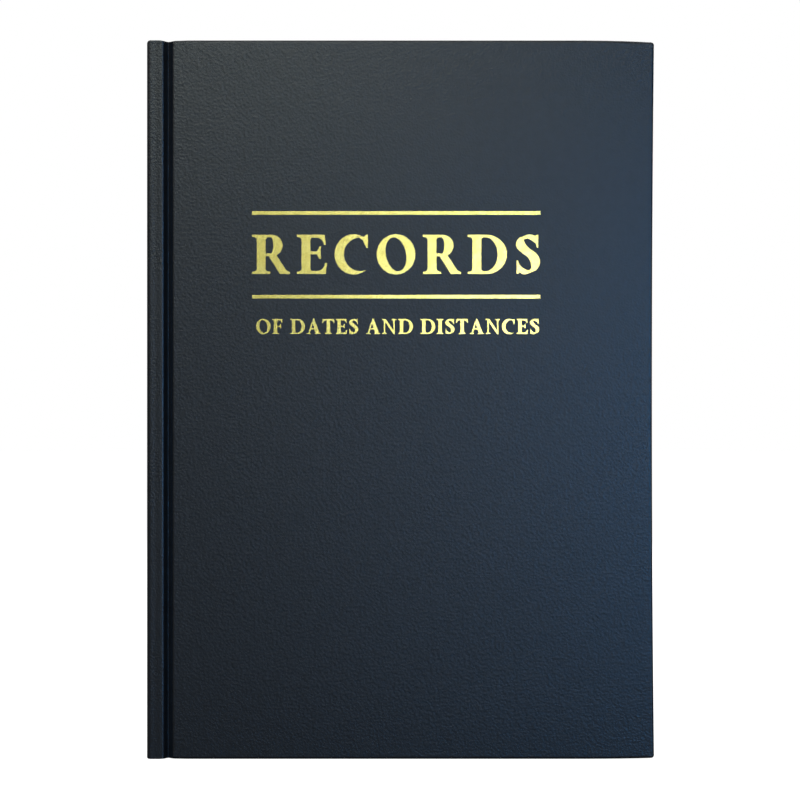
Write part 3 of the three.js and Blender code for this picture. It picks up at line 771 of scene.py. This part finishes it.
# wraps of thread in a row along the band's cord
def endbandTree():
    tree = bpy.data.node_groups.new("endbandWraps", "GeometryNodeTree")
    face = tree.interface
    face.new_socket("Geometry", in_out="OUTPUT", socket_type="NodeSocketGeometry")
    for name, kind in (("Start", "NodeSocketVector"), ("Wrap pitch", "NodeSocketFloat"),
                       ("Wrap count", "NodeSocketInt"), ("Cord radius", "NodeSocketFloat"),
                       ("Thread radius", "NodeSocketFloat"), ("Material", "NodeSocketMaterial")):
        face.new_socket(name, in_out="INPUT", socket_type=kind)
    given = addNode(tree, "NodeGroupInput").outputs
    step = addNode(tree, "ShaderNodeCombineXYZ", inputs={"Y": given["Wrap pitch"]})
    line = addNode(tree, "GeometryNodeMeshLine", inputs={
        "Count": given["Wrap count"], "Start Location": given["Start"], "Offset": step.outputs[0]})
    loop = addNode(tree, "GeometryNodeCurvePrimitiveCircle", inputs={
        "Resolution": 20, "Radius": given["Cord radius"]})
    section = addNode(tree, "GeometryNodeCurvePrimitiveCircle", inputs={
        "Resolution": 8, "Radius": given["Thread radius"]})
    wrap = addNode(tree, "GeometryNodeCurveToMesh", inputs={
        "Curve": loop.outputs[0], "Profile Curve": section.outputs[0]})
    copies = addNode(tree, "GeometryNodeInstanceOnPoints", inputs={
        "Points": line.outputs[0], "Instance": wrap.outputs[0], "Rotation": (math.pi / 2, 0, 0)})
    real = addNode(tree, "GeometryNodeRealizeInstances", inputs={0: copies.outputs[0]})
    smooth = addNode(tree, "GeometryNodeSetShadeSmooth", inputs={0: real.outputs[0]})
    dressed = addNode(tree, "GeometryNodeSetMaterial", inputs={
        "Geometry": smooth.outputs[0], "Material": given["Material"]})
    addNode(tree, "NodeGroupOutput", inputs={"Geometry": dressed.outputs[0]})
    return tree


def buildEndband(tree, name, edge, outwards):
    shape = {"wrapPitch": 0.4 * mm, "threadRadius": 0.24 * mm, "cordRadius": 0.58 * mm, "lift": 0.05 * mm}
    low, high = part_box(name)
    radius = (high.x - low.x) / 2
    centreX = high.x - radius
    centreZ = edge + outwards * (radius + shape["lift"])
    count = int((high.y - low.y) / shape["wrapPitch"]) - 1
    start = -(count - 1) * shape["wrapPitch"] / 2
    piece = growPiece(f"{name}_wraps", tree, {
        "Start": (centreX, start, centreZ), "Wrap pitch": shape["wrapPitch"], "Wrap count": count,
        "Cord radius": shape["cordRadius"], "Thread radius": shape["threadRadius"], "Material": endband})
    finishPiece(piece, "book_block", "endband")
    dress(name, endband)


# letters are pen strokes in units of the cap height, like the ones of the large title
pen = {"stem": 0.225, "hairline": 0.085, "serif": 0.06, "bracket": 0.08, "reach": 0.11, "overshoot": 0.015,
       "nibAngle": 0.35, "swell": 1.08, "contrast": 1.6, "taper": 6}


def rectangleLoop(x0, y0, x1, y1):
    return [(x0, y0), (x1, y0), (x1, y1), (x0, y1)]


def arcLoop(centre, radii, start, end, steps, lean=0.0):
    points = []
    for i in range(steps + 1):
        turn = start + (end - start) * i / steps
        x, y = radii[0] * math.cos(turn), radii[1] * math.sin(turn)
        points.append((centre[0] + x * math.cos(lean) - y * math.sin(lean),
                       centre[1] + x * math.sin(lean) + y * math.cos(lean)))
    return points


def serifLoop(left, right, level, direction):
    slab = level + direction * pen["serif"]
    top = slab + direction * pen["bracket"]
    reach = pen["reach"]
    return [(left - reach, level), (right + reach, level), (right + reach, slab),
            (right + reach * 0.25, slab + direction * 0.02), (right, top),
            (left, top), (left - reach * 0.25, slab + direction * 0.02), (left - reach, slab)]


def stemStrokes(x):
    right = x + pen["stem"]
    return [[rectangleLoop(x, 0, right, 1)], [serifLoop(x, right, 0, 1)], [serifLoop(x, right, 1, -1)]]


def armStroke(x0, x1, level, direction, drop):
    under = level + direction * pen["hairline"]
    return [[(x0, level), (x1, level), (x1 + 0.03, level + direction * drop),
             (x1 - 0.015, level + direction * drop), (x1 - 0.08, level + direction * (pen["hairline"] + 0.05)),
             (x1 - 0.24, under), (x0, under)]]


def ringStroke(centreX, radiusX):
    radiusY = 0.5 + pen["overshoot"]
    outside = arcLoop((centreX, 0.5), (radiusX, radiusY), 0, 2 * math.pi, 36)[:-1]
    inside = arcLoop((centreX, 0.5), (radiusX - pen["stem"], radiusY - pen["hairline"]), 0, 2 * math.pi, 36, 0.2)[:-1]
    return [outside, inside]


def bowlStroke(x0, reach, y0, y1):
    half = (y1 - y0) / 2
    middle = (y0 + y1) / 2
    centre = reach - half
    quarter = math.pi / 2
    outside = [(x0 + pen["stem"] / 2, y0)] + arcLoop((centre, middle), (half, half), -quarter, quarter, 14)
    outside += [(x0 + pen["stem"] / 2, y1)]
    thin = pen["hairline"]
    inside = [(x0 + pen["stem"], y0 + thin)]
    inside += arcLoop((centre, middle), (half - pen["stem"], half - thin), -quarter, quarter, 14)
    inside += [(x0 + pen["stem"], y1 - thin)]
    return [outside, inside]


# a stroke along a curve, as wide as a broad nib held at one angle would make it
def curvedStroke(points, steps):
    left, right = [], []
    count = len(points) - 1
    for step in range(steps + 1):
        place = step / steps * count
        here, ahead = splinePoint(points, place), splinePoint(points, place + 0.01)
        behind = splinePoint(points, place - 0.01)
        direction = (ahead - behind).normalized()
        slope = math.atan2(direction.y, direction.x)
        fullness = min(1, pen["taper"] * step / steps, pen["taper"] * (1 - step / steps))
        across = abs(math.sin(slope - pen["nibAngle"])) ** pen["contrast"]
        thick = pen["hairline"] + (pen["stem"] * pen["swell"] - pen["hairline"]) * across * fullness
        side = Vector((-direction.y, direction.x)) * thick / 2
        left.append(tuple(here + side))
        right.insert(0, tuple(here - side))
    return [left + right]


# a point on a smooth curve through the points, where place 1.5 is halfway from the second to the third
def splinePoint(points, place):
    place = min(max(place, 0.0), len(points) - 1.0)
    i = min(int(place), len(points) - 2)
    share = place - i
    corners = [Vector(points[min(max(i + k, 0), len(points) - 1)]) for k in (-1, 0, 1, 2)]
    a, b, c, d = corners
    return 0.5 * (2 * b + (c - a) * share + (2 * a - 5 * b + 4 * c - d) * share ** 2
                  + (3 * b - a - 3 * c + d) * share ** 3)


# a letter's width, then the strokes that make it, the ones cut out of it and the ones added last
def letterStrokes(letter):
    reach, stem, thin = pen["reach"], pen["stem"], pen["hairline"]
    midBar = [rectangleLoop(0.3, 0.47, 0.54, 0.47 + thin)]
    midTick = [[(0.48, 0.51), (0.56, 0.37), (0.59, 0.37), (0.59, 0.67), (0.56, 0.67)]]
    beak = [[(0.6, 0.955), (0.72, 0.86), (0.81, 0.66), (0.85, 0.66), (0.85, 1), (0.82, 1), (0.75, 0.95)]]
    opening = [arcLoop((stem * 1.05 + 0.42, 0.5), (0.42, 0.43), 0, 2 * math.pi, 36)[:-1]]
    disc = [arcLoop((0.485, 0.5), (0.485, 0.5 + pen["overshoot"]), 0, 2 * math.pi, 36)[:-1]]
    forms = {
        "I": (0.43, stemStrokes(reach), [], []),
        "O": (0.97, [ringStroke(0.485, 0.485)], [], []),
        "D": (0.98, [*stemStrokes(reach), bowlStroke(reach, 0.98, 0, 1)], [], []),
        "C": (0.88, [disc], [opening], [beak]),
        "E": (0.75, [*stemStrokes(reach), armStroke(0.3, 0.7, 1, -1, 0.26), armStroke(0.3, 0.72, 0, 1, 0.28),
                     midBar, midTick], [], []),
        "F": (0.7, [*stemStrokes(reach), armStroke(0.3, 0.67, 1, -1, 0.26), midBar, midTick], [], []),
        "T": (0.8, [[rectangleLoop(0.295, 0, 0.295 + stem, 1)], [serifLoop(0.295, 0.295 + stem, 0, 1)],
                    armStroke(0.3, 0.77, 1, -1, 0.25),
                    [[(0.5, 1), (0.5, 1 - thin), (0.27, 1 - thin), (0.11, 0.87), (0.045, 0.75), (0, 0.75),
                      (0.03, 1)]]], [], []),
        "N": (1.0, [[rectangleLoop(0.14, 0, 0.14 + thin, 0.95)], [rectangleLoop(0.78, 0.1, 0.78 + thin, 1)],
                    [serifLoop(0.14, 0.14 + thin, 0, 1)], [serifLoop(0.78, 0.78 + thin, 1, -1)],
                    [[(0.02, 1), (0.26, 1), (0.865, 0.12), (0.865, -0.02), (0.79, -0.02), (0.14, 0.92),
                      (0.02, 0.94)]]], [], []),
        "A": (0.95, [[[(0.43, 1.02), (0.51, 1.02), (0.9, 0), (0.64, 0), (0.41, 0.72)]],
                     [[(0.36, 0.84), (0.42, 0.72), (0.2, 0), (0.11, 0)]],
                     [rectangleLoop(0.22, 0.3, 0.68, 0.3 + thin)],
                     [[(0, 0), (0.31, 0), (0.31, 0.05), (0, 0.05)]],
                     [[(0.55, 0), (0.96, 0), (0.96, 0.05), (0.55, 0.05)]]], [], []),
        "S": (0.65, [curvedStroke([(0.57, 0.8), (0.49, 0.91), (0.34, 0.95), (0.19, 0.89), (0.16, 0.74),
                                   (0.28, 0.6), (0.45, 0.47), (0.53, 0.32), (0.49, 0.14), (0.33, 0.05),
                                   (0.18, 0.09), (0.09, 0.22)], 40),
                     [[(0.53, 0.82), (0.575, 0.67), (0.605, 0.67), (0.605, 1), (0.575, 1), (0.49, 0.93)]],
                     [[(0.14, 0.2), (0.085, 0.34), (0.055, 0.34), (0.055, 0), (0.085, 0), (0.17, 0.07)]]],
              [], []),
    }
    return forms[letter]


# a stroke as a thin plate: its outline, and any holes in it
def strokeObject(loops, scale, thickness):
    flat = [[Vector((x, y, 0)) for x, y in loop] for loop in loops]
    points = [p for loop in flat for p in loop]
    triangles = tessellate_polygon(flat)
    count = len(points)
    vertices = [(p.x * scale, -thickness, p.y * scale) for p in points]
    vertices += [(p.x * scale, 0, p.y * scale) for p in points]
    faces = [tuple(t) for t in triangles] + [tuple(count + i for i in reversed(t)) for t in triangles]
    base = 0
    for loop in flat:
        size = len(loop)
        faces += [(base + i, base + (i + 1) % size, count + base + (i + 1) % size, count + base + i)
                  for i in range(size)]
        base += size
    piece = newObject("stroke", vertices, faces, foil)
    faceOutwards(piece)
    return piece


# the small second line, spread evenly between its two ends, as one piece of foil
def buildSubtitle():
    look = {"words": "OF DATES AND DISTANCES", "capHeight": 6.3 * mm, "left": 46.1 * mm, "right": 165.4 * mm,
            "baselineBelowHead": 123.8 * mm, "thickness": 0.06 * mm, "gap": 0.02 * mm, "wordSpace": 0.3}
    cap = look["capHeight"]
    letters = {}
    for letter in sorted(set(look["words"].replace(" ", ""))):
        width, strokes, cuts, keeps = letterStrokes(letter)
        piece = strokeObject(strokes[0], cap, look["thickness"])
        steps = [(s, "UNION") for s in strokes[1:]] + [(c, "DIFFERENCE") for c in cuts]
        steps += [(k, "UNION") for k in keeps]
        for loops, operation in steps:
            cutOrJoin(piece, strokeObject(loops, cap, look["thickness"]), operation)
        letters[letter] = (width, piece)
    widths = [look["wordSpace"] if w == " " else letters[w][0] for w in look["words"]]
    spare = look["right"] - look["left"] - sum(widths) * cap
    gap = spare / (len(widths) - 1)
    x = spineFace + look["left"]
    z = cadHigh.z - look["baselineBelowHead"]
    y = depthY(front, 0) - look["gap"]
    whole = bmesh.new()
    for character, width in zip(look["words"], widths):
        if character != " ":
            mesh = letters[character][1].data.copy()
            for vertex in mesh.vertices:
                vertex.co += Vector((x, y, z))
            whole.from_mesh(mesh)
            bpy.data.meshes.remove(mesh)
        x += width * cap + gap
    mesh = bpy.data.meshes.new("subtitle_foil")
    whole.to_mesh(mesh)
    whole.free()
    mesh.materials.append(foil)
    for _, piece in letters.values():
        bpy.data.objects.remove(piece)
    piece = bpy.data.objects.new("subtitle_foil", mesh)
    scene.collection.objects.link(piece)
    finishPiece(piece, "front_cover", "foil")
    print("subtitle ready")


buildStage()
for side, prefix in ((front, "front"), (back, "back")):
    buildCoverCovering(side, prefix)
    buildPastedown(side, prefix)
    buildFlyleaf(prefix)
    buildJointStrips(side, prefix)
    dress(f"{prefix}_gauze_flange", gauze)
    dress(f"{prefix}_endpaper_hinge", endpaper)
buildSpineCovering()
print("case ready")
buildLeaves()
wraps = endbandTree()
buildEndband(wraps, "headband", pageHigh.z, 1)
buildEndband(wraps, "tailband", pageLow.z, -1)
buildSubtitle()
dress("spine_lining", kraft)
dress("spine_gauze", gauze)
for node in frame["nodes"]:
    if node.startswith("sewing_thread"):
        dress(node, linenThread)
    if node.startswith("title_"):
        dress(node, foil)
